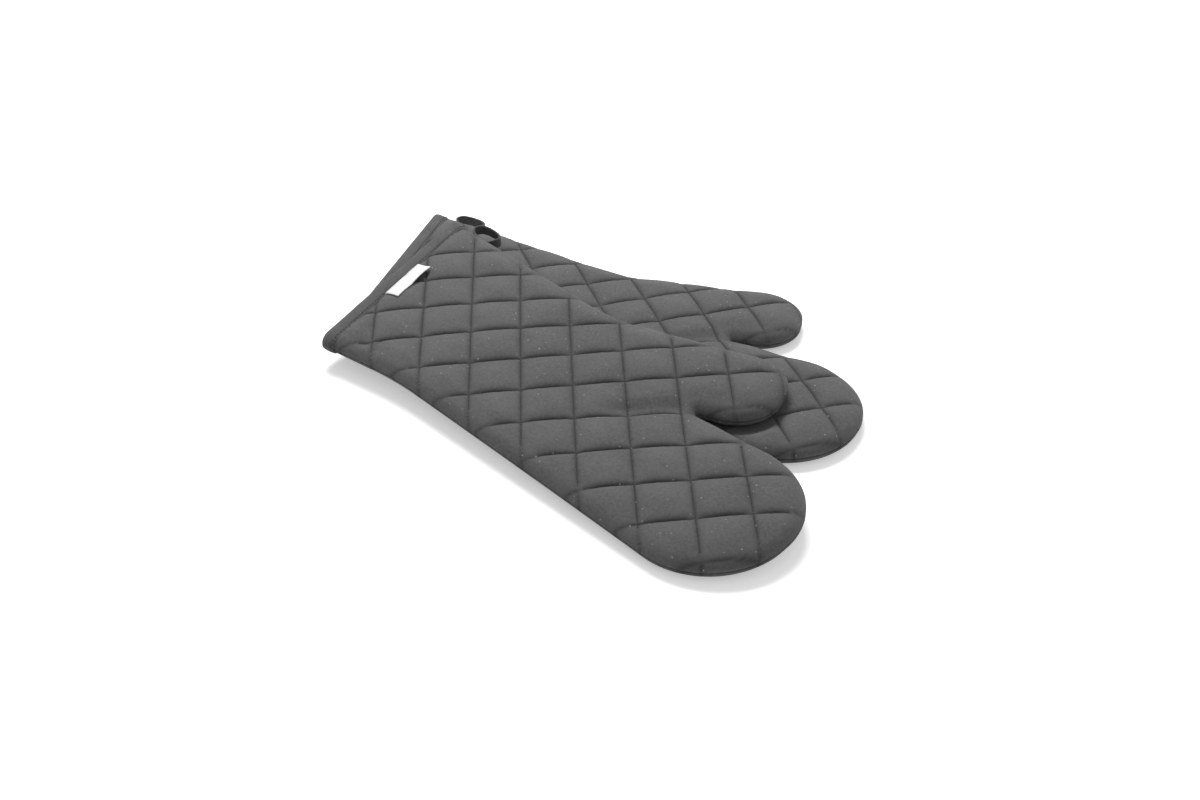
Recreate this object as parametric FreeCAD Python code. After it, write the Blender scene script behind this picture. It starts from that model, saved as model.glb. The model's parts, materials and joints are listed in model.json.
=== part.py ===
"""A pair of quilted heat resistant mitts, one lying across the other.

Each mitt is a palm panel and a back panel, every panel a cover, a wadding and a
lining, joined by a side seam and bound with tape at the cuff.  A hanging loop is
sewn into the side seam.  The upper mitt has a folded blank label beside its tape.

Millimetres, +Z up, +X along the lower mitt from the cuff to the fingers, +Y to
its thumb side.  The origin is the bottom centre of the pair's box.
"""
import FreeCAD, Part
import math
import os
from FreeCAD import Placement, Rotation, Vector

os.makedirs("parts", exist_ok=True)

# Plan of one mitt, measured from the middle of the cuff edge
cuff_width = 178.0
cuff_slant = 13.0          # degrees from square to the mitt's length
waist_x = 91.0             # narrowest place on the little finger side
waist_y = 81.0
waist_radius = 274.0
mitt_length = 406.0        # cuff to finger tips
finger_out_y = 110.0       # little finger side of the finger end
finger_in_y = 17.0         # thumb side of the finger end
finger_out_radius = 58.0
finger_in_radius = 60.0
crotch_x = 271.0           # where the thumb leaves the hand
crotch_radius = 2.0
thumb_root_x = 169.0
thumb_root_y = 66.0
thumb_root_radius = 137.0
thumb_angle = 14.5         # degrees from the mitt's length
thumb_length = 146.0
thumb_width = 71.0
thumb_tip_radius = 33.0
thumb_top_radius = 31.0

# Thickness of one mitt, lying flat
thickness = 17.0
seam_height = 7.0          # where the two panels meet
palm_round = 6.0           # rounding of the palm's outer edge
back_round = 8.5           # rounding of the back's outer edge
cover_cloth = 0.9
wadding_loft = 3.1
lining_cloth = 0.8
layer_gap = 0.1            # between one layer and the next
seam_cloth = 0.3           # the flattened seam allowances
seam_inset = 0.6
seam_width = 4.0

# Quilting
quilt_pitch = 35.6
quilt_angles = (46.0, 134.7)
quilt_node_x = -45.7       # one crossing of the two families of lines
quilt_node_y = 33.9
thread_width = 0.5
thread_depth = 0.4
groove_side = 0.15         # groove beyond the thread on each side
groove_depth = 0.5
thread_edge = 1.5          # lines stop this far inside the rounded edge

# Cuff binding
tape_width = 12.0
tape_proud = 0.6           # the tape outside the cover
tape_press = 0.45          # the tape and stitches press the cover in by this
tape_inner = 0.8           # the tape's inner leg
tape_fold = 1.0            # the tape beyond the cuff edge
tape_gap = 0.05
tape_stitch_edge = 1.4     # stitch line to the tape's inner edge
tape_stitch_width = 0.6
tape_stitch_depth = 0.3

# Hanging loop, seen from above as a D on the side seam
loop_start = 16.0          # along the seam, from the cuff edge
loop_length = 28.0
loop_taper = 3.0
loop_reach = 14.0
loop_tape = 1.6            # tape thickness
loop_width = 8.0           # tape width, standing on edge
loop_root_width = 3.0      # the tape gathered where it enters the seam
loop_root_reach = 5.0      # full width is reached here
loop_root_radius = 4.0
loop_end_radius = 7.0
loop_gap = 0.3
tack_length = 2.4
tack_width = 1.2
tack_thread = 0.4

# Label
labelled_mitts = ("upper",)
label_length = 43.0
label_depth = 12.5
label_leaf = 0.5
label_slit = 0.15
label_fold = 1.0
label_start = -27.0        # along the cuff, from its middle
label_from_tape = 2.0
label_lift = 0.3
label_stitch_edge = 0.5
label_stitch_width = 0.6
label_stitch_depth = 0.3

# The upper mitt lying across the lower one
upper_x = 30.7
upper_y = -47.9
upper_turn = -13.8         # degrees about Z
rest_gap = 0.3             # between the mitts where they touch
floor_gap = 0.3            # under the upper mitt's finger end

# Worked out
panel = cover_cloth + wadding_loft + lining_cloth + 2 * layer_gap
wadding_in = cover_cloth + layer_gap
lining_in = wadding_in + wadding_loft + layer_gap
loop_hinge = loop_gap + loop_root_width / 2   # the loop's rounded root turns about this
beyond = 40.0              # cutting tools run this far past what they cut
reach = 2 * mitt_length
UP = Vector(0, 0, 1)


def unit(angle):
    """Unit vector in plan at an angle in degrees."""
    return Vector(math.cos(math.radians(angle)), math.sin(math.radians(angle)), 0)


def rounded(corners):
    """A closed wire through (point, radius) corners, each rounded by an arc."""
    spans = []
    count = len(corners)
    for index, (point, radius) in enumerate(corners):
        before = (corners[index - 1][0] - point).normalize()
        after = (corners[(index + 1) % count][0] - point).normalize()
        if radius == 0:
            spans.append((point, None, point))
            continue
        half = before.getAngle(after) / 2
        run = radius / math.tan(half)
        middle = (before + after).normalize()
        mid = point + middle * (radius / math.sin(half) - radius)
        spans.append((point + before * run, mid, point + after * run))
    edges = []
    for index, (start, mid, end) in enumerate(spans):
        if mid is not None:
            edges.append(Part.Arc(start, mid, end).toShape())
        edges.append(Part.LineSegment(end, spans[(index + 1) % count][0]).toShape())
    return Part.Wire(edges)


def inset_corners(corners, inset):
    """Move each side of an anticlockwise outline inwards, and its radii with it."""
    count = len(corners)
    moved = []
    for index, (point, radius) in enumerate(corners):
        before = (point - corners[index - 1][0]).normalize()
        after = (corners[(index + 1) % count][0] - point).normalize()
        turn = before.cross(after).z
        left_before = UP.cross(before)
        left_after = UP.cross(after)
        along = (left_after - left_before).dot(left_after) / before.dot(left_after)
        corner = point + (left_before + before * along) * inset
        if radius > 0:
            radius = radius - inset if turn > 0 else radius + inset
        moved.append((corner, radius))
    return moved


def cuff_corner(side):
    """The cuff edge's end, side 1 for the thumb side and -1 for the other."""
    return unit(90 + cuff_slant) * (side * cuff_width / 2)


def mitt_corners():
    """The mitt's outline, running on past the cuff, where tools cut it off."""
    waist = Vector(waist_x, -waist_y, 0)
    thumb_root = Vector(thumb_root_x, thumb_root_y, 0)
    thumb_top = thumb_root + unit(thumb_angle) * thumb_length
    thumb_end = thumb_top - unit(thumb_angle + 90) * thumb_width
    low, high = cuff_corner(-1), cuff_corner(1)
    return [
        (low + (low - waist).normalize() * beyond, 0),
        (waist, waist_radius),
        (Vector(mitt_length, -finger_out_y, 0), finger_out_radius),
        (Vector(mitt_length, finger_in_y, 0), finger_in_radius),
        (Vector(crotch_x, finger_in_y + 1, 0), crotch_radius),
        (thumb_end, thumb_tip_radius),
        (thumb_top, thumb_top_radius),
        (thumb_root, thumb_root_radius),
        (high + (high - thumb_root).normalize() * beyond, 0),
    ]


def plan_face(inset):
    return Part.Face(rounded(inset_corners(mitt_corners(), inset)))


def body(inset):
    """The whole mitt as one rounded solid, moved inwards all over by inset."""
    solid = plan_face(inset).extrude(UP * (thickness - 2 * inset))
    solid.translate(UP * inset)
    cuff_end = max(cuff_corner(-1).x, cuff_corner(1).x) - beyond / 2
    for level, radius in ((inset, palm_round), (thickness - inset, back_round)):
        ring = [edge for edge in solid.Edges
                if all(abs(v.Z - level) < 1e-6 for v in edge.Vertexes)
                and max(v.X for v in edge.Vertexes) > cuff_end]
        solid = solid.makeFillet(radius - inset, ring)
    return solid


def cuff_band(start, end):
    """A slab across the mitt between two distances from the cuff edge."""
    slab = Part.makeBox(end - start, 2 * reach, 2 * beyond, Vector(start, -reach, -beyond / 2))
    slab.rotate(Vector(), UP, cuff_slant)
    return slab


def layer_box(low, high):
    """A level slab over the whole mitt."""
    return Part.makeBox(2 * reach, 2 * reach, high - low, Vector(-reach, -reach, low))


def flat_bottomed(inset, floor):
    """The body with whatever lies below a level cut away."""
    return body(inset).common(layer_box(floor, 2 * thickness))


def quilt_bars(width, low, high, edge):
    """Both families of quilting lines as bars, ending inside the rounded edge."""
    node = Vector(quilt_node_x, quilt_node_y, 0)
    bars = []
    lines = int(reach / quilt_pitch)
    area = plan_face(edge).extrude(UP * (high - low))
    area.translate(UP * low)
    area = area.common(cuff_band(tape_width + thread_edge, reach))
    for angle in quilt_angles:
        for line in range(-lines, lines + 1):
            bar = Part.makeBox(2 * reach, width, high - low, Vector(-reach, -width / 2, low))
            bar.rotate(Vector(), UP, angle)
            bar.translate(node + unit(angle + 90) * (line * quilt_pitch))
            bar = bar.common(area)
            if bar.Solids:
                bars.append(bar)
    return bars[0].multiFuse(bars[1:]).removeSplitter()


def shell(outer, inner):
    """A layer of the mitt between two insets, open at the cuff."""
    return body(outer).cut(body(inner)).common(cuff_band(0, reach))


def split_panels(layer):
    """The palm and back halves of a layer, apart by the seam."""
    palm = layer.common(layer_box(-beyond, seam_height))
    back = layer.common(layer_box(seam_height + seam_cloth + 2 * layer_gap, beyond))
    return palm, back


def split_edge(wadding):
    """The back wadding's flat sheet, and the edge that turns down from it to the seam."""
    under = thickness - wadding_in - wadding_loft
    sheet = wadding.common(layer_box(under, beyond))
    return sheet, wadding.common(layer_box(-beyond, under - layer_gap))


def covers():
    """Outer cloth, grooved along the quilting and pressed thin under the tape."""
    cloth = shell(0, cover_cloth)
    pressed = body(tape_press)
    cloth = cloth.cut(cuff_band(-beyond, tape_width).cut(pressed))
    palm, back = split_panels(cloth)
    width = thread_width + 2 * groove_side
    palm_edge = palm_round + thread_edge - groove_side
    back_edge = back_round + thread_edge - groove_side
    palm = palm.cut(quilt_bars(width, -beyond, groove_depth, palm_edge))
    back = back.cut(quilt_bars(width, thickness - groove_depth, thickness + beyond, back_edge))
    return palm, back


def quilting():
    """Thread nets lying in the covers' grooves."""
    slack = (groove_depth - thread_depth) / 2
    palm = quilt_bars(thread_width, slack, slack + thread_depth, palm_round + thread_edge)
    top = thickness - slack
    back = quilt_bars(thread_width, top - thread_depth, top, back_round + thread_edge)
    return palm, back


def side_seam():
    """The stitched seam allowances between the two panels."""
    low = seam_height + layer_gap
    ring = plan_face(seam_inset).cut(plan_face(seam_inset + seam_width))
    ring = ring.extrude(UP * seam_cloth)
    ring.translate(UP * low)
    return ring.common(cuff_band(0, reach))


def stitch_ring(depth, start, end):
    """A ring let into the tape's outer face, also where the tape lies on the floor."""
    ring = flat_bottomed(-tape_proud, 0).cut(flat_bottomed(depth - tape_proud, depth))
    return ring.common(cuff_band(start, end))


def binding():
    """Tape folded over the cuff edge, with its row of stitches."""
    outer = flat_bottomed(-tape_proud, 0)
    mouth = body(panel + tape_gap + tape_inner)
    outer_leg = outer.cut(body(tape_press - tape_gap)).common(cuff_band(-tape_gap, tape_width))
    inner_leg = body(panel + tape_gap).cut(mouth).common(cuff_band(-tape_gap, tape_width))
    fold = outer.cut(mouth).common(cuff_band(-tape_fold, -tape_gap))
    tape = fold.multiFuse([outer_leg, inner_leg]).removeSplitter()
    start = tape_width - tape_stitch_edge - tape_stitch_width
    end = tape_width - tape_stitch_edge
    groove = stitch_ring(tape_stitch_depth + tape_gap, start - tape_gap, end + tape_gap)
    return tape.cut(groove), stitch_ring(tape_stitch_depth, start, end)


def loop_frame():
    """Placement of the loop: X along the seam to the fingers, Y outwards."""
    root = Vector(thumb_root_x, thumb_root_y, 0)
    high = cuff_corner(1)
    angle = math.degrees(math.atan2(root.y - high.y, root.x - high.x))
    return Placement(high + UP * seam_height, Rotation(UP, angle))


def loop_axis():
    """The line that the loop swings about."""
    frame = loop_frame()
    return frame.multVec(Vector(loop_start + loop_length / 2, loop_hinge, 0)), frame.Rotation.multVec(
        Vector(1, 0, 0))


def hanging_loop():
    """A ring of tape on edge, gathered at its root, and the bar tacks that hold it."""
    corners = [
        (Vector(loop_start, loop_gap, 0), loop_root_radius),
        (Vector(loop_start + loop_length, loop_gap, 0), loop_root_radius),
        (Vector(loop_start + loop_length - loop_taper, loop_reach, 0), loop_end_radius),
        (Vector(loop_start + loop_taper, loop_reach, 0), loop_end_radius),
    ]
    ring = Part.Face(rounded(corners)).cut(Part.Face(rounded(inset_corners(corners, loop_tape))))
    ring = ring.extrude(UP * loop_width)
    ring.translate(UP * (-loop_width / 2))
    root = loop_root_width / 2
    full = loop_width / 2
    tip = loop_reach + loop_tape
    points = [Vector(0, loop_hinge, root), Vector(0, loop_root_reach, full), Vector(0, tip, full),
              Vector(0, tip, -full), Vector(0, loop_root_reach, -full), Vector(0, loop_hinge, -root)]
    gather = [Part.LineSegment(start, end).toShape() for start, end in zip(points, points[1:])]
    gather.append(Part.Arc(points[-1], Vector(0, loop_gap, 0), points[0]).toShape())
    ring = ring.common(Part.Face(Part.Wire(gather)).extrude(Vector(2 * reach, 0, 0)))
    inside = loop_gap + loop_tape + layer_gap
    tacks = []
    for share in (0.3, 0.7):
        middle = loop_start + loop_length * share
        tacks.append(Part.makeBox(tack_width, tack_thread, tack_length,
                                  Vector(middle - tack_width / 2, inside, -tack_length / 2)))
    tack = Part.makeCompound(tacks)
    for shape in (ring, tack):
        shape.Placement = loop_frame().multiply(shape.Placement)
    return ring, tack


def label_frame():
    """Placement of the label: X away from the cuff, Y along it, at its sewn edge."""
    place = Placement(Vector(), Rotation(UP, cuff_slant))
    edge = Vector(tape_width + label_from_tape, label_start, thickness + label_lift)
    return place.multiply(Placement(edge, Rotation()))


def label():
    """A tape folded double along its free edge, and its line of stitches."""
    total = 2 * label_leaf + label_slit
    flap = Part.makeBox(label_depth, label_length, total)
    slit = Part.makeBox(label_depth - label_fold + beyond, label_length + 2 * beyond, label_slit,
                        Vector(-beyond, -beyond, label_leaf))
    flap = flap.cut(slit)
    sewn_edge = Part.makeBox(label_fold, label_length, total)
    flap = flap.fuse(sewn_edge).removeSplitter()
    run = label_length - 2 * label_stitch_edge
    stitch = Part.makeBox(label_stitch_width, run, label_stitch_depth,
                          Vector(label_stitch_edge, label_stitch_edge, total + tape_gap))
    for shape in (flap, stitch):
        shape.Placement = label_frame().multiply(shape.Placement)
    return flap, stitch


def mitt():
    """All the pieces of one mitt, lying palm down with its lowest face at zero."""
    palm_cover, back_cover = covers()
    palm_wadding, back_wadding = split_panels(shell(wadding_in, wadding_in + wadding_loft))
    back_wadding, back_wadding_edge = split_edge(back_wadding)
    palm_lining, back_lining = split_panels(shell(lining_in, panel))
    palm_quilting, back_quilting = quilting()
    cuff_binding, binding_stitches = binding()
    loop, tack = hanging_loop()
    flap, flap_stitches = label()
    return {
        "palm_cover": palm_cover,
        "palm_wadding": palm_wadding,
        "palm_lining": palm_lining,
        "palm_quilting": palm_quilting,
        "back_cover": back_cover,
        "back_wadding": back_wadding,
        "back_wadding_edge": back_wadding_edge,
        "back_lining": back_lining,
        "back_quilting": back_quilting,
        "side_seam": side_seam(),
        "cuff_binding": cuff_binding,
        "binding_stitches": binding_stitches,
        "hanging_loop": loop,
        "loop_tack": tack,
        "label": flap,
        "label_stitches": flap_stitches,
    }


def upper_placement():
    """Across the lower mitt, tilted over its near edge until the fingers reach the floor."""
    flat = Placement(Vector(upper_x, upper_y, 0), Rotation(UP, upper_turn))
    outline = plan_face(0).common(Part.makePlane(reach, 2 * reach, Vector(0, -reach, 0)))
    outline.Placement = flat
    lowest_y = outline.BoundBox.YMin
    ridge_y = plan_face(back_round).BoundBox.YMin
    rise = thickness + rest_gap - floor_gap
    tilt = math.degrees(math.asin(rise / (ridge_y - lowest_y)))
    hinge = Placement(Vector(0, ridge_y, thickness + rest_gap), Rotation(Vector(1, 0, 0), tilt))
    return hinge.multiply(Placement(Vector(0, -ridge_y, 0), Rotation())).multiply(flat)


def place_pair(pieces):
    """Every node of both mitts, moved so that the origin is the box's bottom centre."""
    places = {"lower": Placement(), "upper": upper_placement()}
    nodes = {}
    for name, place in places.items():
        for piece, shape in pieces.items():
            if piece.startswith("label") and name not in labelled_mitts:
                continue
            copy = shape.copy()
            copy.Placement = place.multiply(copy.Placement)
            nodes[name + "_" + piece] = copy
    box = Part.makeCompound(list(nodes.values())).optimalBoundingBox(False, False)
    shift = Vector(-box.Center.x, -box.Center.y, -box.ZMin)
    for shape in nodes.values():
        shape.translate(shift)
    frames = {name: Placement(shift, Rotation()).multiply(place) for name, place in places.items()}
    return nodes, frames


nodes, frames = place_pair(mitt())
for node, shape in nodes.items():
    shape.exportStep("parts/" + node + ".step")

for name, frame in frames.items():
    root, along = loop_axis()
    stitch = frame.multiply(label_frame())
    print(name, "frame", frame.Base, frame.Rotation.Axis, math.degrees(frame.Rotation.Angle))
    print(name, "loop axis", frame.multVec(root), frame.Rotation.multVec(along))
    if name in labelled_mitts:
        print(name, "label axis", stitch.Base, stitch.Rotation.multVec(Vector(0, 1, 0)))
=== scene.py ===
"""The looks of a pair of quilted heat resistant mitts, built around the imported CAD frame.

Each mitt is worked out flat in its own plan, in millimetres: X from the cuff to the fingers, Y to the
thumb side, Z up from the palm's lowest face.  seated() then carries every point to the mitt's place in
the frame and lets the cloth settle there.
"""
import json
import math
import bpy
import numpy as np
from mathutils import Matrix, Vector, geometry


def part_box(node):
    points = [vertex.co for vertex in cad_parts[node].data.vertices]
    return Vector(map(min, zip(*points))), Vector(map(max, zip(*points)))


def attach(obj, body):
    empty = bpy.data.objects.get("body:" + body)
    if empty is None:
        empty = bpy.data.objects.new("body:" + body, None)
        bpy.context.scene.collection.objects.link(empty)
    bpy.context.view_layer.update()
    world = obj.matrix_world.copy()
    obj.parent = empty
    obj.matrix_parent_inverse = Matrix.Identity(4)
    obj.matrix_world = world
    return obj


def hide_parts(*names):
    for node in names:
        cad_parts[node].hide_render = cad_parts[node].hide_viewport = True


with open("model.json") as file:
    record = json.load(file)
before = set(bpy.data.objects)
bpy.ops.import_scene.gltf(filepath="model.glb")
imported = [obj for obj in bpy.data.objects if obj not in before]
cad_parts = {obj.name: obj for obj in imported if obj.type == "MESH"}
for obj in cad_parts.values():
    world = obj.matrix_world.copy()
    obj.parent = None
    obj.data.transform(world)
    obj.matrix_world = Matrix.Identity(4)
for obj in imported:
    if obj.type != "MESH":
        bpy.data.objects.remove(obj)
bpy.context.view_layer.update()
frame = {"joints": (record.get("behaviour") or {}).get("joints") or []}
joints = {joint["name"]: joint for joint in frame["joints"]}
MM = 0.001

# Plan of one mitt: the same cut as the CAD panels
CUFF_WIDTH = 178.0
CUFF_SLANT = math.radians(13.0)
WAIST = (91.0, -81.0, 274.0)            # x, y and corner radius
FINGER_OUT = (406.0, -110.0, 58.0)
FINGER_IN = (406.0, 17.0, 60.0)
CROTCH = (271.0, 18.0, 2.0)
THUMB_ROOT = (169.0, 66.0, 137.0)
THUMB_ANGLE = math.radians(14.5)
THUMB_LENGTH = 146.0
THUMB_WIDTH = 71.0
THUMB_TIP_RADIUS = 33.0
THUMB_TOP_RADIUS = 31.0

# Section of one mitt
SEAM = 7.2                              # height of the side seam
BACK_HIGH = 6.6                         # back panel at the quilting, above the seam
BACK_WIDE = 9.0                         # width of its rounded shoulder
PALM_HIGH = 6.9
PALM_WIDE = 7.0
PANEL = 5.0                             # cover, wadding and lining together
COVER = 0.8
LINING = 0.7
GROOVE = 1.3                            # the seam pulls the covers in by this

# Quilting
PITCH = 35.6
QUILT_ANGLES = (math.radians(46.0), math.radians(134.7))
QUILT_NODE = (-45.7, 33.9)
BACK_PUFF = 4.3
PALM_PUFF = 1.2
STITCH_STEP = 3.3
STITCH_LONG = 2.3
STITCH_THICK = 0.75

# Cuff tape, loop and label
TAPE_WIDE = 12.0
TAPE_THICK = 0.9
LOOP_START = 16.0
LOOP_LONG = 28.0
LOOP_REACH = 14.0
LOOP_TAPE = 1.6
LOOP_WIDE = 8.0
LOOP_HINGE = 1.8                        # its axis, from the seam
LOOP_LEVEL = 7.0                        # its height in the mitt
LABEL_LONG = 43.0
LABEL_DEEP = 12.5
LABEL_START = -27.0
LABEL_EDGE = 14.0                       # the label's sewn edge, from the cuff
LABEL_LEAF = 0.45

# The upper mitt settles from the stiff CAD pose
RIDGE_IN = 96.5                         # the lower mitt's near ridge, from its middle line
RIDGE_DROP = 3.7                        # over the lower mitt's near edge
SLOPE_DROP = 0.023                      # and by this more per millimetre towards the thumbs


# ------------------------------------------------------------------ plan of a mitt
def direction(angle):
    return np.array([math.cos(angle), math.sin(angle)])


def cuff_corner(side):
    return direction(math.pi / 2 + CUFF_SLANT) * side * CUFF_WIDTH / 2


def plan_corners():
    thumb_top = np.array(THUMB_ROOT[:2]) + direction(THUMB_ANGLE) * THUMB_LENGTH
    thumb_end = thumb_top - direction(THUMB_ANGLE + math.pi / 2) * THUMB_WIDTH
    return [
        (cuff_corner(-1), 0.0),
        (np.array(WAIST[:2]), WAIST[2]),
        (np.array(FINGER_OUT[:2]), FINGER_OUT[2]),
        (np.array(FINGER_IN[:2]), FINGER_IN[2]),
        (np.array(CROTCH[:2]), CROTCH[2]),
        (thumb_end, THUMB_TIP_RADIUS),
        (thumb_top, THUMB_TOP_RADIUS),
        (np.array(THUMB_ROOT[:2]), THUMB_ROOT[2]),
        (cuff_corner(1), 0.0),
    ]


def unit(vector):
    return vector / np.linalg.norm(vector)


def left(vector):
    return np.array([-vector[1], vector[0]])


def outline_spans(inset):
    """Corner arcs of the outline moved inwards by inset: (start, centre, end, turn) for each."""
    corners = plan_corners()
    count = len(corners)
    sides = []
    for index in range(count):
        start, end = corners[index][0], corners[(index + 1) % count][0]
        along = unit(end - start)
        shift = 0.0 if index == count - 1 else inset
        sides.append((start + left(along) * shift, along))
    spans = []
    for index, (_, radius) in enumerate(corners):
        (p, a), (q, b) = sides[index - 1], sides[index]
        cross = a[0] * b[1] - a[1] * b[0]
        run = ((q - p)[0] * b[1] - (q - p)[1] * b[0]) / cross
        corner = p + a * run
        if radius == 0.0:
            spans.append((corner, None, corner, 0.0, 0.0))
            continue
        radius = radius - inset if cross > 0 else radius + inset
        turn = math.atan2(cross, a @ b)
        back = radius * math.tan(abs(turn) / 2)
        centre = corner - a * back + left(a) * math.copysign(radius, turn)
        spans.append((corner - a * back, centre, corner + b * back, turn, radius))
    return spans


SIDE_STEP = 2.2
LOWEST = -1.2                           # the cover never sinks further than this
CHUNK = 4000                            # points measured at a time, to save memory
LINES = 16                              # quilting lines each side of the node
GRID_CLEAR = 0.9                        # grid points keep this far off the outline
CUFF_FINE, CUFF_COARSE = 60, 20         # points along the cuff edge


def span_counts():
    """Points on each straight side and arc, fixed so that every inset outline matches."""
    spans = outline_spans(0.0)
    counts = []
    for index, (start, centre, end, turn, radius) in enumerate(spans):
        arc = 0 if centre is None else max(6, int(abs(turn) * radius / SIDE_STEP))
        line = 0
        if index < len(spans) - 1:
            line = max(2, int(np.linalg.norm(spans[index + 1][0] - end) / SIDE_STEP))
        counts.append((arc, line))
    return counts


SPAN_COUNTS = span_counts()


def outline(inset):
    """The open outline at an inset, from the cuff's near corner round to its thumb corner."""
    spans = outline_spans(inset)
    points = []
    for index, ((start, centre, end, turn, radius), (arc, line)) in enumerate(zip(spans, SPAN_COUNTS)):
        if centre is None:
            points.append(start)
        else:
            spoke = start - centre
            for step in range(arc + 1):
                angle = turn * step / arc
                c, s = math.cos(angle), math.sin(angle)
                points.append(centre + np.array([c * spoke[0] - s * spoke[1], s * spoke[0] + c * spoke[1]]))
        if line:
            following = spans[index + 1][0]
            for step in range(1, line):
                points.append(end + (following - end) * step / line)
    return np.array(points)


EDGE = outline(0.0)


def edge_distance(points):
    """Distance from each plan point to the outline's sewn sides."""
    starts, ends = EDGE[:-1], EDGE[1:]
    best = np.full(len(points), np.inf)
    for chunk in range(0, len(points), CHUNK):
        p = points[chunk:chunk + CHUNK, None]
        along = ends - starts
        share = np.clip(((p - starts) * along).sum(2) / (along ** 2).sum(1), 0, 1)
        gap = np.linalg.norm(p - starts - share[..., None] * along, axis=2)
        best[chunk:chunk + CHUNK] = gap.min(1)
    return best


def inside(points, ring):
    """Which plan points lie inside a closed ring."""
    hit = np.zeros(len(points), bool)
    for (x0, y0), (x1, y1) in zip(ring, np.roll(ring, -1, axis=0)):
        if y0 == y1:
            continue
        crosses = (points[:, 1] >= min(y0, y1)) & (points[:, 1] < max(y0, y1))
        hit ^= crosses & (points[:, 0] < x0 + (points[:, 1] - y0) * (x1 - x0) / (y1 - y0))
    return hit


def from_cuff(points):
    """Distance from the cuff edge, towards the fingers."""
    return points @ direction(CUFF_SLANT)


def smooth(value, low, high):
    share = np.clip((value - low) / (high - low), 0, 1)
    return share * share * (3 - 2 * share)


# ------------------------------------------------------------------ quilted surface
def waves(points, count, shortest, longest, seed):
    """Soft random relief from -1 to 1, the same on every run."""
    draw = np.random.default_rng(seed)
    total = np.zeros(len(points))
    for _ in range(count):
        length = draw.uniform(shortest, longest)
        heading = direction(draw.uniform(0, math.tau))
        total += np.sin(points @ heading * math.tau / length + draw.uniform(0, math.tau))
    return total / math.sqrt(count)


def line_offsets(points):
    """Signed distance to the nearest quilting line of each family, and the place along it."""
    result = []
    for angle in QUILT_ANGLES:
        along = (points - QUILT_NODE) @ direction(angle)
        across = (points - QUILT_NODE) @ direction(angle + math.pi / 2)
        line = np.round(across / PITCH)
        result.append((across - line * PITCH, along, line))
    return result


def pillow(gap):
    """Height of a quilted puff at a distance from its seam, from 0 to 1."""
    gap = np.abs(gap)
    return 0.5 * (1 - np.exp(-gap / 1.5)) + 0.5 * np.sin(np.pi * np.clip(gap / PITCH, 0, 0.5)) ** 0.9


def puff(points, seed):
    """Relief of the quilting, with puckers beside the stitches, from 0 to about 1."""
    (gap_a, along_a, line_a), (gap_b, along_b, line_b) = line_offsets(points)
    height = pillow(gap_a) * pillow(gap_b)
    for gap, along, line in ((gap_a, along_a, line_a), (gap_b, along_b, line_b)):
        phase = np.sin(line * 12.9 + seed) * 40.0
        pucker = np.sin(math.tau * (along + phase) / 7.3) + 0.7 * np.sin(math.tau * (along - phase) / 4.6)
        near = np.exp(-np.abs(gap) / 3.2) * (1 - np.exp(-np.abs(gap) / 0.7))
        height = height + 0.055 * pucker * near
    height = height + 0.05 * waves(points, 9, 14.0, 40.0, seed) * pillow(gap_a) * pillow(gap_b)
    return height


CREASES = (
    # start, end, depth and half width of folds that the hand has left in the back
    ((272.0, 12.0), (232.0, -30.0), 2.6, 6.0),
    ((52.0, -72.0), (34.0, -50.0), 1.6, 4.0),
    ((66.0, -80.0), (58.0, -58.0), 1.2, 3.5),
)


def creases(points):
    relief = np.zeros(len(points))
    for start, end, depth, wide in CREASES:
        start, end = np.array(start), np.array(end)
        along = end - start
        share = np.clip((points - start) @ along / (along @ along), 0, 1)
        gap = np.linalg.norm(points - start - share[:, None] * along, axis=1)
        fade = 1 - smooth(share, 0.55, 1.0)
        relief -= depth * fade * np.exp(-(gap / wide) ** 2)
    return relief


class Panel:
    """Back or palm of a mitt: heights outwards from the seam."""

    def __init__(self, side, high, wide, relief, seed):
        self.side = side
        self.high = high
        self.wide = wide
        self.relief = relief
        self.seed = seed

    def proud(self, points):
        """How far the cover stands out of the quilting's level."""
        flatter = 0.35 + 0.65 * smooth(edge_distance(points), 3.0, 20.0)
        rise = self.relief * puff(points, self.seed) * flatter
        rise = rise + 0.35 * waves(points, 7, 60, 140, self.seed + 1) + 0.5
        if self.side > 0:
            rise = rise + creases(points)
        rise = np.maximum(rise, LOWEST)
        return rise * smooth(from_cuff(points), TAPE_WIDE - 1.0, TAPE_WIDE + 4.0)

    def rim(self, theta, out, grooved):
        """Rows of the rounded edge at an angle: plan points, heights and outward normals."""
        inset = self.wide * (1 - math.cos(theta)) - out * math.cos(theta)
        height = (self.high + out) * math.sin(theta)
        if grooved:
            inset += GROOVE * math.exp(-height / 0.7)
        points = outline(inset)
        tangent = np.gradient(points, axis=0)
        outward = np.stack([tangent[:, 1], -tangent[:, 0]], 1)
        outward /= np.linalg.norm(outward, axis=1)[:, None]
        normal = np.column_stack([outward * math.cos(theta), np.full(len(points), math.sin(theta))])
        return points, np.full(len(points), height), normal

    def level(self, points, out):
        """Height of the inner area above the seam, before the quilting's relief."""
        crown = 1.6 * (1 - np.exp(-np.maximum(edge_distance(points) - self.wide, 0) / 30.0))
        return self.high + out + crown * smooth(from_cuff(points), 0.0, 40.0)

    def point(self, xy, heights):
        return np.column_stack([xy, SEAM + self.side * heights])

    def on_surface(self, points, out):
        """Places on the inner area's surface, a little above or below it."""
        return self.point(points, self.level(points, 0.0) + self.proud(points) + out)


BACK = Panel(1, BACK_HIGH, BACK_WIDE, BACK_PUFF, 3)
PALM = Panel(-1, PALM_HIGH - PALM_PUFF - 0.6, PALM_WIDE, PALM_PUFF, 11)
RIM_ANGLES = [math.radians(a) for a in (0, 5, 10, 17, 25, 34, 44, 55, 67, 79, 90)]


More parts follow.
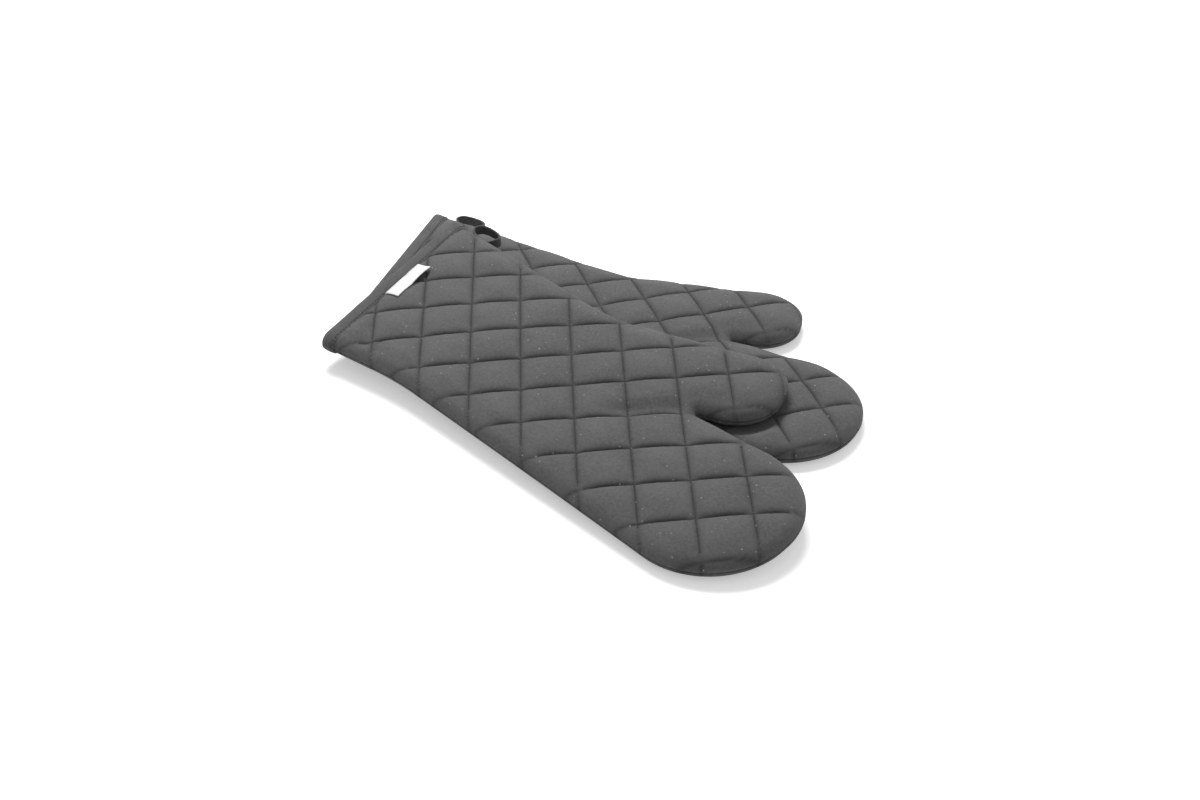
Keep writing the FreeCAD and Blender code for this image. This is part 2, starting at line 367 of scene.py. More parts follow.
def inner_grid(ring, steps):
    """Plan points inside a ring on a grid that follows the quilting."""
    half = np.array(steps) / 2
    cell = np.concatenate([-half[::-1], half[1:]])
    offsets = np.concatenate([cell + PITCH * k for k in range(-LINES, LINES + 1)])
    offsets = np.unique(np.round(offsets, 4))
    a, b = direction(QUILT_ANGLES[0] + math.pi / 2), direction(QUILT_ANGLES[1] + math.pi / 2)
    u, v = np.meshgrid(offsets, offsets)
    both = np.stack([u.ravel(), v.ravel()], 1) @ np.linalg.inv(np.stack([a, b], 1))
    points = both + QUILT_NODE
    low, high = ring.min(0), ring.max(0)
    points = points[((points > low) & (points < high)).all(1)]
    points = points[inside(points, ring)]
    starts, ends = ring, np.roll(ring, -1, axis=0)
    keep = np.ones(len(points), bool)
    for chunk in range(0, len(points), CHUNK):
        p = points[chunk:chunk + CHUNK, None]
        along = ends - starts
        share = np.clip(((p - starts) * along).sum(2) / (along ** 2).sum(1), 0, 1)
        keep[chunk:chunk + CHUNK] = np.linalg.norm(p - starts - share[..., None] * along,
                                                   axis=2).min(1) > GRID_CLEAR
    return points[keep]


FINE = [2 * s for s in (0, 0.5, 1.1, 1.9, 3.0, 4.5, 6.4, 8.7, 11.3, 14.3, PITCH / 2)]
COARSE = [2 * s for s in (0, 6.0, 12.0, PITCH / 2)]


def cuff_points(panel, count):
    """Points along the cuff edge between the two rounded sides."""
    ring = outline(panel.wide)
    share = np.linspace(0, 1, count + 1)[1:-1, None]
    return ring[-1] + (ring[0] - ring[-1]) * share


def surface(panel, out, steps, quilted):
    """Vertices and faces of one layer of a panel: rounded edge rows, then the inner area."""
    rows, normals = [], []
    for theta in RIM_ANGLES:
        xy, height, normal = panel.rim(theta, out, quilted)
        if quilted:
            rise = panel.proud(xy) * smooth(theta, 0.5, 1.5)
            place = np.column_stack([xy, height]) + normal * rise[:, None]
            xy, height = place[:, :2], place[:, 2]
        rows.append(panel.point(xy, height))
        normals.append(normal)
    size = len(rows[0])
    faces = []
    for row in range(len(rows) - 1):
        for i in range(size - 1):
            a, b = row * size + i, row * size + i + 1
            faces.append((a, b, b + size, a + size))
    last = outline(panel.wide)
    cuff = cuff_points(panel, CUFF_FINE if quilted else CUFF_COARSE)
    ring = np.vstack([last, cuff])
    grid = inner_grid(ring, steps)
    flat = [Vector(p) for p in np.vstack([ring, grid])]
    border = [(i, (i + 1) % len(ring)) for i in range(len(ring))]
    made = geometry.delaunay_2d_cdt(flat, border, [], 1, 1e-4)
    points = np.array([tuple(v) for v in made[0]])
    height = panel.level(points, out)
    if quilted:
        height = height + panel.proud(points)
    inner = panel.point(points, height)
    # the ring's first points are the last rounded row
    first = {}
    for index, sources in enumerate(made[3]):
        for source in sources:
            if source < size:
                first[index] = (len(rows) - 1) * size + source
    offset = len(rows) * size
    number = [first.get(i, offset + i) for i in range(len(points))]
    faces += [tuple(number[i] for i in face) for face in made[2]]
    verts = np.vstack(rows + [inner])
    used = np.unique([i for face in faces for i in face])
    renumber = np.full(len(verts), -1)
    renumber[used] = np.arange(len(used))
    faces = [tuple(int(renumber[i]) for i in face) for face in faces]
    return verts[used], faces


# ------------------------------------------------------------------ places in the frame
def loop_line():
    """The loop's place on the thumb side seam: a plan point and its direction."""
    high, root = cuff_corner(1), np.array(THUMB_ROOT[:2])
    along = unit(root - high)
    return high, along


class Seat:
    """Carries plan points of one mitt to its place in the frame."""

    def __init__(self, name):
        self.name = name
        loop, label = joints[name + "_loop_swing"], joints.get(name + "_label_lift")
        high, along = loop_line()
        local_a = np.array([along[0], along[1], 0.0])
        local_b = np.array([math.sin(CUFF_SLANT), -math.cos(CUFF_SLANT), 0.0])
        world_a = np.array(loop["axis"])
        # a mitt with no label lies flat and unturned, so its plan is the frame's
        world_b = np.array(label["axis"]) if label else local_b
        self.turn = self.basis(world_a, world_b) @ self.basis(local_a, local_b).T
        middle = high + along * (LOOP_START + LOOP_LONG / 2) + left(along) * LOOP_HINGE
        local = np.array([middle[0], middle[1], LOOP_LEVEL])
        self.shift = np.array(loop["pos_m"]) / MM - self.turn @ local

    @staticmethod
    def basis(a, b):
        c = np.cross(a, b)
        c /= np.linalg.norm(c)
        return np.stack([a, np.cross(c, a), c], 1)

    def flat(self, points):
        return points @ self.turn.T + self.shift


SEATS = {"lower": Seat("lower"), "upper": Seat("upper")}
upper_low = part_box("upper_palm_cover")[0]
RIDGE_Y = SEATS["lower"].shift[1] - RIDGE_IN
TIP_Y = upper_low.y / MM


def settle(y):
    """How far the upper mitt sinks from the stiff pose, by place across the pair."""
    near = RIDGE_DROP * smooth(y, TIP_Y + 10.0, RIDGE_Y)
    return near + SLOPE_DROP * np.maximum(y - RIDGE_Y, 0)


def underside(xy):
    """Height of the settled upper mitt's lowest face over a place in the frame."""
    seat = SEATS["upper"]
    normal = seat.turn[:, 2]
    height = (normal @ seat.shift - xy @ normal[:2]) / normal[2]
    return height - settle(xy[:, 1])


def seated(name, points):
    """Plan points of a mitt in the frame, in millimetres, with its cloth settled."""
    seat = SEATS[name]
    placed = seat.flat(points)
    if name == "upper":
        placed[:, 2] -= settle(placed[:, 1])
        placed[:, 2] = np.maximum(placed[:, 2], 0.3)
        return placed
    upper = SEATS["upper"]
    above = np.column_stack([placed[:, :2], np.full(len(placed), 20.0)])
    local = (above - upper.shift) @ upper.turn
    ring = outline(0.0)
    covered = inside(local[:, :2], ring)
    gap = np.where(covered, 0.0, edge_distance(local[:, :2]))
    limit = underside(placed[:, :2]) - 0.4 + 0.6 * np.maximum(gap - 2.0, 0)
    placed[:, 2] = np.where(placed[:, 2] > limit, limit - 0.02 * (placed[:, 2] - limit), placed[:, 2])
    placed[:, 2] = np.maximum(placed[:, 2], 0.02)
    return placed


# ------------------------------------------------------------------ making pieces
def make_piece(name, mitt, points, faces, material, body, nodes, grain=None):
    """A mesh piece of a mitt, given in plan, that rides on a body and stands for CAD nodes."""
    mesh = bpy.data.meshes.new(name)
    mesh.from_pydata((seated(mitt, np.array(points, float)) * MM).tolist(), [], faces)
    mesh.update()
    layer = mesh.attributes.new("grain", "FLOAT_VECTOR", "POINT")
    source = np.array(points if grain is None else grain, float)
    layer.data.foreach_set("vector", source.ravel())
    mesh.shade_smooth()
    obj = bpy.data.objects.new(name, mesh)
    bpy.context.scene.collection.objects.link(obj)
    obj.data.materials.append(material)
    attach(obj, body)
    if nodes:
        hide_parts(*nodes)
    return obj


def thicken(obj, thick):
    solid = obj.modifiers.new("cloth", "SOLIDIFY")
    solid.thickness = thick * MM
    solid.offset = -1
    return obj


def shade(obj, name, values):
    layer = obj.data.attributes.new(name, "FLOAT", "POINT")
    layer.data.foreach_set("value", np.asarray(values, float))


def tube_faces(rings, around):
    """Faces of a closed band of rings, each with the same number of points."""
    faces = []
    for ring in range(rings):
        following = (ring + 1) % rings
        for i in range(around):
            j = (i + 1) % around
            faces.append((ring * around + i, ring * around + j, following * around + j,
                          following * around + i))
    return faces


# ------------------------------------------------------------------ materials
def node(tree, kind, inputs=None, **settings):
    made = tree.nodes.new(kind)
    for key, value in settings.items():
        setattr(made, key, value)
    for key, value in (inputs or {}).items():
        if isinstance(value, bpy.types.NodeSocket):
            tree.links.new(value, made.inputs[key])
        else:
            made.inputs[key].default_value = value
    return made


def math_node(tree, operation, a, b, clamp=False):
    return node(tree, "ShaderNodeMath", {0: a, 1: b}, operation=operation, use_clamp=clamp).outputs[0]


def mix_colour(tree, share, a, b):
    made = tree.nodes.new("ShaderNodeMix")
    made.data_type = "RGBA"
    for key, value in ((0, share), (6, a), (7, b)):
        if isinstance(value, bpy.types.NodeSocket):
            tree.links.new(value, made.inputs[key])
        else:
            made.inputs[key].default_value = value
    return made.outputs[2]


def grey(value):
    """Linear grey, with alpha, of an sRGB level from 0 to 255."""
    level = value / 255
    linear = level / 12.92 if level <= 0.04045 else ((level + 0.055) / 1.055) ** 2.4
    return (linear, linear, linear, 1.0)


def cloth(name, dark, mid, pale, weave, twill_angle, lint, sheen, rough, shaded=False):
    """Woven cotton: twill lines, mottled dye, brushed sheen and pale lint; if shaded, also painted shade in
    the quilting valleys and beside the cuff tape, and lighter crowns.
    """
    material = bpy.data.materials.new(name)
    material.use_nodes = True
    tree = material.node_tree
    shader = tree.nodes["Principled BSDF"]
    grain = node(tree, "ShaderNodeAttribute", attribute_name="grain").outputs["Vector"]
    turned = node(tree, "ShaderNodeMapping", {"Vector": grain, "Rotation": (0, 0, twill_angle)}).outputs[0]
    mottle = node(tree, "ShaderNodeTexNoise",
                  {"Vector": grain, "Scale": 0.55, "Detail": 4.0, "Roughness": 0.62})
    cloud = node(tree, "ShaderNodeTexNoise",
                 {"Vector": grain, "Scale": 0.028, "Detail": 3.0, "Roughness": 0.5})
    twill = node(tree, "ShaderNodeTexWave", {"Vector": turned, "Scale": weave, "Distortion": 0.7,
                                             "Detail": 2.0, "Detail Scale": 1.6}, bands_direction="X")
    weft = node(tree, "ShaderNodeTexWave", {"Vector": turned, "Scale": weave * 0.8, "Distortion": 0.9,
                                            "Detail": 1.0}, bands_direction="Y")
    yarn = math_node(tree, "MULTIPLY", twill.outputs["Fac"], 0.65)
    yarn = math_node(tree, "ADD", yarn, math_node(tree, "MULTIPLY", weft.outputs["Fac"], 0.35))
    tone = node(tree, "ShaderNodeMapRange",
                {"Value": mottle.outputs["Fac"], "From Min": 0.32, "From Max": 0.7}).outputs[0]
    colour = mix_colour(tree, tone, dark, mid)
    colour = mix_colour(tree, math_node(tree, "MULTIPLY", yarn, 0.3), colour, pale)
    far = node(tree, "ShaderNodeMapRange", {"Value": cloud.outputs["Fac"], "From Min": 0.35, "From Max": 0.65,
                                            "To Min": 0.0, "To Max": 0.22}).outputs[0]
    colour = mix_colour(tree, far, colour, pale)
    if shaded:
        # painted shade: the valley attribute darkens the cover towards grey(46) along the quilting lines and
        # beside the cuff tape
        painted_shade_amount = node(tree, "ShaderNodeAttribute", attribute_name="valley").outputs["Fac"]
        colour = mix_colour(tree, painted_shade_amount, colour, grey(46))
        crown = node(tree, "ShaderNodeAttribute", attribute_name="crown").outputs["Fac"]
        worn = math_node(tree, "MULTIPLY", crown, tone, clamp=True)
        colour = mix_colour(tree, math_node(tree, "MULTIPLY", worn, 0.35), colour, pale)
    if lint > 0:
        specks = node(tree, "ShaderNodeTexVoronoi", {"Vector": grain, "Scale": 0.17, "Randomness": 1.0})
        seed = node(tree, "ShaderNodeTexNoise", {"Vector": grain, "Scale": 0.9, "Detail": 1.0})
        dot = node(tree, "ShaderNodeMapRange", {"Value": specks.outputs["Distance"], "From Min": 0.04,
                                                "From Max": 0.12, "To Min": 1.0, "To Max": 0.0}).outputs[0]
        pick = math_node(tree, "GREATER_THAN", seed.outputs["Fac"], 0.5)
        colour = mix_colour(tree, math_node(tree, "MULTIPLY", math_node(tree, "MULTIPLY", dot, pick), lint),
                            colour, grey(205))
    tree.links.new(colour, shader.inputs["Base Color"])
    fuzz = node(tree, "ShaderNodeTexNoise", {"Vector": grain, "Scale": 1.4, "Detail": 3.0})
    relief = math_node(tree, "ADD", math_node(tree, "MULTIPLY", yarn, 0.6),
                       math_node(tree, "MULTIPLY", fuzz.outputs["Fac"], 0.7))
    bump = node(tree, "ShaderNodeBump", {"Height": relief, "Strength": 0.5, "Distance": 0.0005})
    tree.links.new(bump.outputs[0], shader.inputs["Normal"])
    roughness = node(tree, "ShaderNodeMapRange",
                     {"Value": yarn, "To Min": rough - 0.08, "To Max": rough}).outputs[0]
    tree.links.new(roughness, shader.inputs["Roughness"])
    shader.inputs["Specular IOR Level"].default_value = 0.2
    shader.inputs["Sheen Weight"].default_value = sheen
    shader.inputs["Sheen Roughness"].default_value = 0.45
    return material


COVER_CLOTH = cloth("brushed_twill", grey(70), grey(86), grey(109), 0.62, math.radians(63), 0.5, 0.12, 0.95,
                    True)
TAPE_CLOTH = cloth("tape_twill", grey(63), grey(83), grey(106), 0.5, math.radians(45), 0.25, 0.12, 0.95)
LINING_CLOTH = cloth("lining_cotton", grey(120), grey(140), grey(160), 0.5, 0.0, 0.2, 0.1, 0.95)
WADDING_FELT = cloth("wadding_felt", grey(196), grey(214), grey(226), 0.2, 0.5, 0.0, 0.2, 1.0)
THREAD = cloth("sewing_thread", grey(38), grey(52), grey(84), 1.6, 0.6, 0.0, 0.05, 0.7)
LABEL_SATIN = cloth("label_satin", grey(226), grey(238), grey(246), 1.1, 0.0, 0.0, 0.05, 0.55)
LABEL_THREAD = cloth("label_thread", grey(200), grey(220), grey(236), 1.6, 0.6, 0.0, 0.05, 0.7)


# ------------------------------------------------------------------ pieces of a mitt
def cover_piece(mitt, side_name, panel):
    points, faces = surface(panel, 0.0, FINE, True)
    if panel.side < 0:
        faces = [face[::-1] for face in faces]
    obj = make_piece(f"{mitt}_{side_name}_cover_cloth", mitt, points, faces, COVER_CLOTH, mitt + "_mitt",
                     [f"{mitt}_{side_name}_cover"])
    plan = points[:, :2]
    gaps = line_offsets(plan)
    # painted shade: darker along the quilting lines, where shade falls in the valleys
    near = np.maximum(np.exp(-np.abs(gaps[0][0]) / 1.1), np.exp(-np.abs(gaps[1][0]) / 0.9))
    valley = 0.85 * near * smooth(from_cuff(plan), TAPE_WIDE, TAPE_WIDE + 2)
    # painted shadow of the tape's raised inner edge, on the cover beside the cuff binding
    tape_edge_shadow = 0.95 * np.exp(-np.abs(from_cuff(plan) - TAPE_WIDE - 0.7) / 1.0)
    shade(obj, "valley", np.maximum(valley, tape_edge_shadow))
    shade(obj, "crown", np.clip(puff(plan, panel.seed), 0, 1) ** 2)
    return thicken(obj, COVER)


def layer_piece(mitt, side_name, panel, kind, outer, inner, material):
    """An inner layer: one smooth surface, thickened inwards."""
    top, faces = surface(panel, outer, COARSE, False)
    nodes = [f"{mitt}_{side_name}_{kind}"]
    if kind == "wadding" and panel.side > 0:
        nodes.append(nodes[0] + "_edge")
    obj = make_piece(f"{mitt}_{side_name}_{kind}_layer", mitt, top, faces, material, mitt + "_mitt",
                     nodes)
    if panel.side < 0:
        obj.data.flip_normals()
    return thicken(obj, outer - inner)


def stitch_mesh(places, ways, ups, long, thick):
    """Short plump stitches at plan places, each along its way."""
    rings = ((-0.5, 0.25), (-0.3, 1.0), (0.0, 1.15), (0.3, 1.0), (0.5, 0.25))
    around = 5
    points, faces, grain = [], [], []
    for index in range(len(places)):
        way, up = ways[index], ups[index]
        across = np.cross(way, up)
        for along, size in rings:
            for k in range(around):
                angle = math.tau * k / around
                swell = (across * math.cos(angle) + up * math.sin(angle) * 0.8) * thick / 2 * size
                points.append(places[index] + way * along * long + swell)
                grain.append((along * long, angle, index))
        base = index * len(rings) * around
        for ring in range(len(rings) - 1):
            for k in range(around):
                j = (k + 1) % around
                a, b = base + ring * around, base + (ring + 1) * around
                faces.append((a + k, a + j, b + j, b + k))
        faces.append(tuple(base + k for k in reversed(range(around))))
        faces.append(tuple(base + (len(rings) - 1) * around + k for k in range(around)))
    return np.array(points), faces, np.array(grain)


def quilting_piece(mitt, side_name, panel):
    """Rows of stitches in the valleys of the quilting."""
    reach = np.arange(-700, 700, STITCH_STEP)
    plan, ways = [], []
    for angle in QUILT_ANGLES:
        way = direction(angle)
        for line in range(-LINES, LINES + 1):
            base = np.array(QUILT_NODE) + direction(angle + math.pi / 2) * line * PITCH
            row = base + way * (reach + (line * 1.37) % STITCH_STEP)[:, None]
            plan.append(row)
            ways.append(np.tile(way, (len(row), 1)))
    plan, ways = np.vstack(plan), np.vstack(ways)
    low, high = EDGE.min(0), EDGE.max(0)
    keep = ((plan > low) & (plan < high)).all(1) & (from_cuff(plan) > TAPE_WIDE + 2.0)
    plan, ways = plan[keep], ways[keep]
    keep = inside(plan, outline(panel.wide))
    plan, ways = plan[keep], ways[keep]
    centre = panel.on_surface(plan, 0.12)
    ahead = panel.on_surface(plan + ways * STITCH_LONG / 2, 0.12)
    behind = panel.on_surface(plan - ways * STITCH_LONG / 2, 0.12)
    way = ahead - behind
    way /= np.linalg.norm(way, axis=1)[:, None]
    up = np.tile([0.0, 0.0, float(panel.side)], (len(way), 1))
    up -= way * (up * way).sum(1)[:, None]
    points, faces, grain = stitch_mesh(centre, way, up, STITCH_LONG, STITCH_THICK)
    make_piece(f"{mitt}_{side_name}_quilting_stitches", mitt, points, faces, THREAD, mitt + "_mitt",
               [f"{mitt}_{side_name}_quilting"], grain)


def seam_piece(mitt):
    """The sewn edge between the panels, deep in its groove."""
    rows = [(1.0, 0.18), (0.8, 0.0), (1.0, -0.18), (4.5, -0.18), (4.5, 0.18)]
    points = np.vstack([np.column_stack([outline(inset), np.full(len(EDGE), SEAM + lift)]) for inset,
                        lift in rows])
    size = len(EDGE)
    faces = []
    for row in range(len(rows)):
        following = (row + 1) % len(rows)
        for i in range(size - 1):
            faces.append((row * size + i, following * size + i, following * size + i + 1, row * size + i + 1))
    faces.append(tuple(row * size for row in range(len(rows))))
    faces.append(tuple(row * size + size - 1 for row in reversed(range(len(rows)))))
    make_piece(f"{mitt}_side_seam_edge", mitt, points, faces, THREAD, mitt + "_mitt", [f"{mitt}_side_seam"])


def side_point(side, inset, along_cuff):
    """Where a straight side, moved inwards, is at a distance from the cuff."""
    neighbour = np.array(WAIST[:2]) if side < 0 else np.array(THUMB_ROOT[:2])
    corner = cuff_corner(side)
    way = unit(neighbour - corner)
    start = corner + left(way) * (-side) * inset
    normal = direction(CUFF_SLANT)
    return start + way * (along_cuff - start @ normal) / (way @ normal)


def section(out, along_cuff, flat_steps):
    """A closed loop round the mitt's mouth at a distance from the cuff edge, moved outwards by out."""
    points = []
    angles = [math.radians(a) for a in (8, 20, 34, 50, 68)]
    for panel, order in ((BACK, 1), (PALM, -1)):
        near, far = (-1, 1) if order > 0 else (1, -1)
        for side, sequence in ((near, angles), (None, None), (far, angles[::-1])):
            if side is None:
                first = side_point(near, panel.wide, along_cuff)
                last = side_point(far, panel.wide, along_cuff)
                for share in np.linspace(0, 1, flat_steps + 1):
                    xy = first + (last - first) * share
                    points.append(np.array([xy[0], xy[1], SEAM + panel.side * (panel.high + out)]))
                continue
            for theta in sequence:
                inset = panel.wide * (1 - math.cos(theta)) - out * math.cos(theta)
                xy = side_point(side, inset, along_cuff)
                points.append(np.array([xy[0], xy[1],
                                        SEAM + panel.side * (panel.high + out) * math.sin(theta)]))
    return np.array(points)


def binding_pieces(mitt):
    """Tape folded over the cuff edge, and its row of stitches."""
    flat_steps = 44
    thick = TAPE_THICK
    profile = [
        # outwards from the cover, distance from the cuff
        (-0.3, TAPE_WIDE), (0.35, TAPE_WIDE + 0.15), (thick, TAPE_WIDE - 0.5),
        (thick + 0.05, TAPE_WIDE - 1.2),
        (thick - 0.25, TAPE_WIDE - 1.9), (thick + 0.1, TAPE_WIDE - 2.7), (thick + 0.35, 8.0),
        (thick + 0.4, 5.0),
        (thick + 0.25, 2.5), (thick - 0.2, 0.7), (-0.9, -0.7), (-2.5, -1.3), (-3.8, -1.0), (-4.9, 0.2),
        (-5.3, 1.5), (-5.5, 6.0), (-5.5, 11.6), (-5.0, 11.9), (-4.6, 11.0), (-4.4, 2.5), (-3.0, 0.6),
        (-1.4, 0.6), (-0.35, 2.0), (-0.35, 8.0),
    ]
    rings = [section(out, along, flat_steps) for out, along in profile]
    around = len(rings[0])
    points = np.vstack(rings)
    sway = 0.12 * waves(points[:, :2], 6, 8.0, 30.0, 5)
    points[:, 2] += sway * np.sign(points[:, 2] - SEAM) * (np.abs(points[:, 2] - SEAM) > 3)
    grain = np.vstack([np.column_stack([np.full(around, along * 1.0), np.linspace(0, 400, around),
                                        np.full(around, out)])
                       for out, along in profile])
    make_piece(f"{mitt}_cuff_binding_tape", mitt, points, tube_faces(len(profile), around), TAPE_CLOTH,
               mitt + "_mitt", [f"{mitt}_cuff_binding"], grain)
    line = section(thick + 0.1, TAPE_WIDE - 1.9, 400)
    gaps = np.linalg.norm(np.roll(line, -1, axis=0) - line, axis=1)
    total = np.concatenate([[0], np.cumsum(gaps)])
    closed = np.vstack([line, line[:1]])
    at = np.arange(0, total[-1] - STITCH_STEP / 2, STITCH_STEP)
    centre = np.stack([np.interp(at, total, closed[:, k]) for k in range(3)], 1)
    ahead = np.stack([np.interp(at + 0.8, total, closed[:, k]) for k in range(3)], 1)
    way = ahead - centre
    way /= np.linalg.norm(way, axis=1)[:, None]
    normal = np.append(direction(CUFF_SLANT), 0.0)
    up = np.cross(normal, way)
    up *= np.sign((up * (centre - centre.mean(0))).sum(1))[:, None]
    points, faces, grain = stitch_mesh(centre, way, up, STITCH_LONG, STITCH_THICK)
    make_piece(f"{mitt}_binding_stitch_row", mitt, points, faces, THREAD, mitt + "_mitt",
               [f"{mitt}_binding_stitches"], grain)


def loop_pieces(mitt):
    """The hanging loop: tape on edge, gathered into the side seam, and its bar tacks."""
    high, along = loop_line()
    outward = left(along)
    half = LOOP_LONG / 2
    path = []
    for step in range(48):
        angle = math.tau * step / 48
        c, s = math.cos(angle), math.sin(angle)
        x = half * 0.94 * math.copysign(abs(c) ** 0.75, c)
        y = LOOP_REACH / 2 * math.copysign(abs(s) ** 0.85, s) * 0.93 + LOOP_REACH / 2 + 0.2
        path.append((LOOP_START + half + x, y))
    path = np.array(path)
    tangent = np.roll(path, -1, axis=0) - np.roll(path, 1, axis=0)
    tangent /= np.linalg.norm(tangent, axis=1)[:, None]
    across = np.stack([tangent[:, 1], -tangent[:, 0]], 1)
    cuts = [(-1, -0.42), (-1, 0.42), (-0.85, 0.5), (0.0, 0.42), (0.85, 0.5), (1, 0.42), (1, -0.42),
            (0.85, -0.5),
            (0.0, -0.42), (-0.85, -0.5)]
    points, grain = [], []
    for index, (u, v) in enumerate(path):
        wide = LOOP_WIDE / 2 * (0.4 + 0.6 * smooth(v, 0.3, 5.0))
        for height, thick in cuts:
            x, y = np.array([u, v]) + across[index] * thick * LOOP_TAPE
            xy = high + along * x + outward * y
            droop = -0.05 * v
            points.append([xy[0], xy[1], LOOP_LEVEL + height * wide + droop])
            grain.append([height * LOOP_WIDE / 2, index * 1.7, thick])
    faces = tube_faces(len(path), len(cuts))
    loop = make_piece(f"{mitt}_hanging_loop_tape", mitt, points, faces, TAPE_CLOTH, mitt + "_loop",
                      [f"{mitt}_hanging_loop"], grain)
    sub = loop.modifiers.new("round", "SUBSURF")
    sub.levels = sub.render_levels = 1
    places, ways, ups = [], [], []
    way = np.array([0.0, 0.0, 1.0])
    up = np.array([outward[0], outward[1], 0.0])
    for share in np.linspace(0.25, 0.75, 7):
        xy = high + along * (LOOP_START + LOOP_LONG * share) + outward * 2.25
        places.append(np.array([xy[0], xy[1], LOOP_LEVEL]))
        ways.append(way)
        ups.append(up)
    points, faces, grain = stitch_mesh(places, ways, ups, 2.4, 0.6)
    make_piece(f"{mitt}_loop_bar_tack", mitt, points, faces, THREAD, mitt + "_loop", [f"{mitt}_loop_tack"],
               grain)


def label_pieces(mitt):
    """A blank satin label folded double, sewn along one edge, its free edge lifted."""
    normal = direction(CUFF_SLANT)
    along = left(normal)
    steps, rows, lift = 10, 30, 3.0
    leaf = [(LABEL_DEEP * step / steps, 0.0) for step in range(steps + 1)]
    fold = [(LABEL_DEEP + LABEL_LEAF * math.cos(angle), LABEL_LEAF + LABEL_LEAF * math.sin(angle))
            for angle in (-1.05, -0.35, 0.35, 1.05)]
    ribbon = leaf + fold + [(x, 2 * LABEL_LEAF) for x, _ in reversed(leaf)]
    points, grain = [], []
    for row in range(rows + 1):
        y = LABEL_LONG * row / rows
        for x, z in ribbon:
            share = x / LABEL_DEEP
            curl = lift * share ** 1.8 * (0.6 + 0.4 * math.cos(math.tau * row / rows * 0.8 + 2.6))
            xy = normal * (LABEL_EDGE + x) + along * (LABEL_START + y - 1.4 * share)
            points.append([xy[0], xy[1], z + curl])
            grain.append([y, x, z])
    points = np.array(points)
    cloth_top = BACK.on_surface(points[:, :2], 0.0)[:, 2]
    sewn = np.percentile(cloth_top.reshape(rows + 1, -1)[:, 0], 90)
    points[:, 2] = np.maximum(sewn + points[:, 2], cloth_top + points[:, 2] * 0.3) + 0.45
    around = len(ribbon)
    faces = []
    for row in range(rows):
        for i in range(around - 1):
            a, b = row * around + i, (row + 1) * around + i
            faces.append((a, b, b + 1, a + 1))
    label = make_piece(f"{mitt}_blank_label", mitt, points, faces, LABEL_SATIN, mitt + "_label_flap",
                       [f"{mitt}_label"], grain)
    thicken(label, 0.35)
    places, ways, ups = [], [], []
    way = np.array([along[0], along[1], 0.0])
    for y in np.arange(1.5, LABEL_LONG - 1.0, 2.6):
        xy = normal * (LABEL_EDGE + 0.5) + along * (LABEL_START + y)
        height = BACK.on_surface(xy[None], 0.0)[0, 2]
        places.append(np.array([xy[0], xy[1], height + 0.55 + 2 * LABEL_LEAF]))
        ways.append(way)
        ups.append(np.array([0.0, 0.0, 1.0]))
    points, faces, grain = stitch_mesh(places, ways, ups, 1.9, 0.4)
    make_piece(f"{mitt}_label_stitch_row", mitt, points, faces, LABEL_THREAD, mitt + "_label_flap",
               [f"{mitt}_label_stitches"], grain)


def build_mitt(mitt):
    for side_name, panel in (("back", BACK), ("palm", PALM)):
        cover_piece(mitt, side_name, panel)
        layer_piece(mitt, side_name, panel, "wadding", -2.3, LINING + 0.2 - PANEL, WADDING_FELT)
        layer_piece(mitt, side_name, panel, "lining", LINING - PANEL, -PANEL, LINING_CLOTH)
        quilting_piece(mitt, side_name, panel)
    seam_piece(mitt)
    binding_pieces(mitt)
    loop_pieces(mitt)
    if mitt + "_label_lift" in joints:
        label_pieces(mitt)


# ------------------------------------------------------------------ stage, light and camera
AZIMUTH = math.radians(28.65)
ELEVATION = math.radians(33.4)
DISTANCE = 1.098
AIM = Vector(((SEATS["lower"].shift[0] + 229.1) * MM, (SEATS["lower"].shift[1] - 82.7) * MM, 0.0))


def make_camera():
    camera = bpy.data.objects.new("camera", bpy.data.cameras.new("camera"))
    bpy.context.scene.collection.objects.link(camera)
    camera.data.lens = 46.7
    camera.data.sensor_width = 36.0
    back = Vector((math.sin(AZIMUTH) * math.cos(ELEVATION), -math.cos(AZIMUTH) * math.cos(ELEVATION),
                   math.sin(ELEVATION)))
    camera.location = AIM + back * DISTANCE
    camera.rotation_euler = back.to_track_quat("Z", "Y").to_euler()
    camera.data.clip_end = 50
    bpy.context.scene.camera = camera


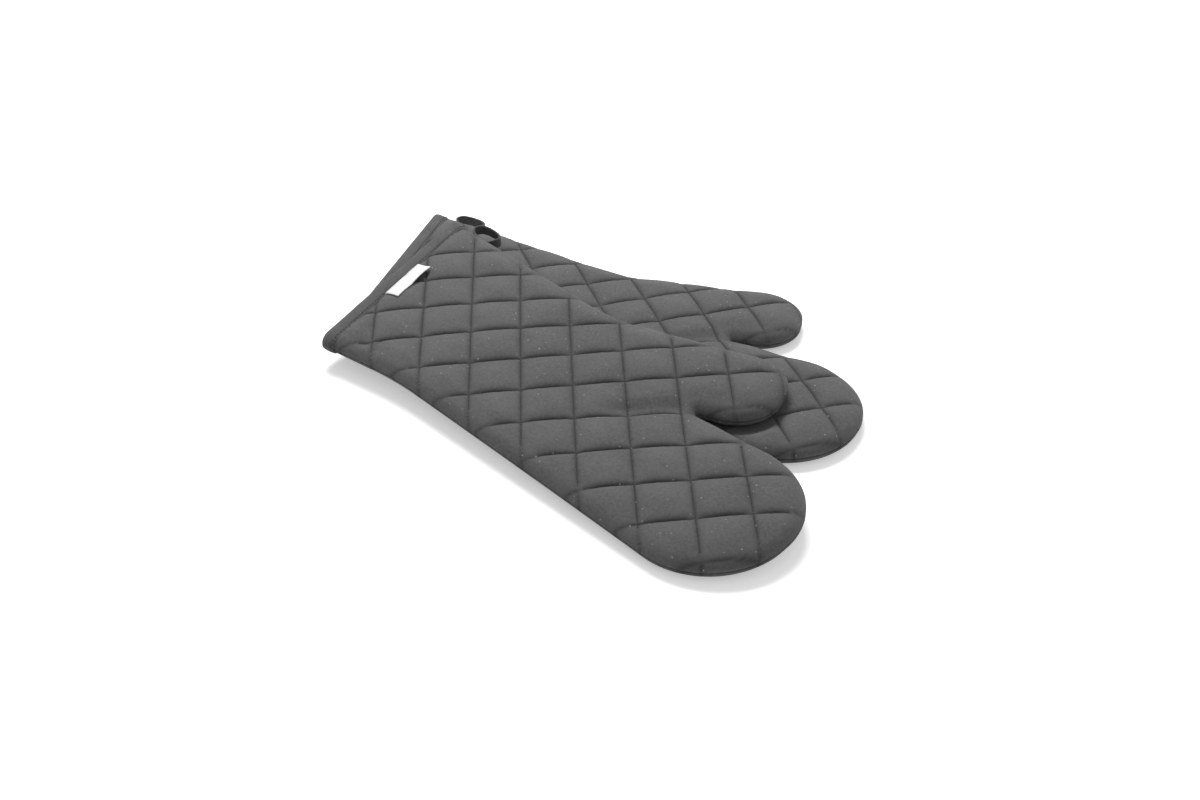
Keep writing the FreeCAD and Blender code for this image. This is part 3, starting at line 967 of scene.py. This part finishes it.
def make_stage():
    """A pale floor that shows white to the camera but keeps the soft shadows."""
    mesh = bpy.data.meshes.new("floor")
    mesh.from_pydata([(-12, -12, 0), (12, -12, 0), (12, 12, 0), (-12, 12, 0)], [], [(0, 1, 2, 3)])
    floor = bpy.data.objects.new("floor", mesh)
    bpy.context.scene.collection.objects.link(floor)
    material = bpy.data.materials.new("pale_floor")
    material.use_nodes = True
    tree = material.node_tree
    shader = tree.nodes["Principled BSDF"]
    shader.inputs["Base Color"].default_value = (0.9, 0.9, 0.9, 1)
    shader.inputs["Roughness"].default_value = 0.9
    shader.inputs["Specular IOR Level"].default_value = 0.1
    path = node(tree, "ShaderNodeLightPath")
    seen = math_node(tree, "MAXIMUM", path.outputs["Is Camera Ray"], path.outputs["Is Glossy Ray"])
    seen = math_node(tree, "MAXIMUM", seen, path.outputs["Is Transmission Ray"])
    glow = node(tree, "ShaderNodeEmission", {"Color": (1, 1, 1, 1),
                                             "Strength": math_node(tree, "MULTIPLY", seen, 0.4)})
    both = node(tree, "ShaderNodeAddShader", {0: shader.outputs[0], 1: glow.outputs[0]})
    tree.links.new(both.outputs[0], tree.nodes["Material Output"].inputs["Surface"])
    floor.data.materials.append(material)


def area_light(name, place, aim, size, power):
    light = bpy.data.objects.new(name, bpy.data.lights.new(name, "AREA"))
    bpy.context.scene.collection.objects.link(light)
    light.data.shape = "RECTANGLE"
    light.data.size, light.data.size_y = size
    light.data.energy = power
    light.location = Vector(place)
    light.rotation_euler = (Vector(place) - Vector(aim)).to_track_quat("Z", "Y").to_euler()


def make_light():
    right = Vector((math.cos(AZIMUTH), math.sin(AZIMUTH), 0))
    away = Vector((-math.sin(AZIMUTH), math.cos(AZIMUTH), 0))
    up = Vector((0, 0, 1))
    area_light("key", away * 1.1 + up * 1.7 - right * 0.2, (0, 0, 0), (1.1, 0.7), 46)
    area_light("fill", away * -1.6 + up * 1.4 + right * 0.6, (0, 0, 0), (2.0, 1.6), 5)
    world = bpy.data.worlds.new("studio")
    bpy.context.scene.world = world
    world.use_nodes = True
    tree = world.node_tree
    background = tree.nodes["Background"]
    path = node(tree, "ShaderNodeLightPath")
    seen = math_node(tree, "MAXIMUM", path.outputs["Is Camera Ray"], path.outputs["Is Glossy Ray"])
    seen = math_node(tree, "MAXIMUM", seen, path.outputs["Is Transmission Ray"])
    strength = node(tree, "ShaderNodeMapRange", {"Value": seen, "To Min": 0.36, "To Max": 1.0}).outputs[0]
    tree.links.new(strength, background.inputs["Strength"])
    background.inputs["Color"].default_value = (1, 1, 1, 1)


bpy.context.scene.view_settings.view_transform = "Standard"
make_camera()
make_stage()
make_light()
for mitt_name in ("lower", "upper"):
    build_mitt(mitt_name)
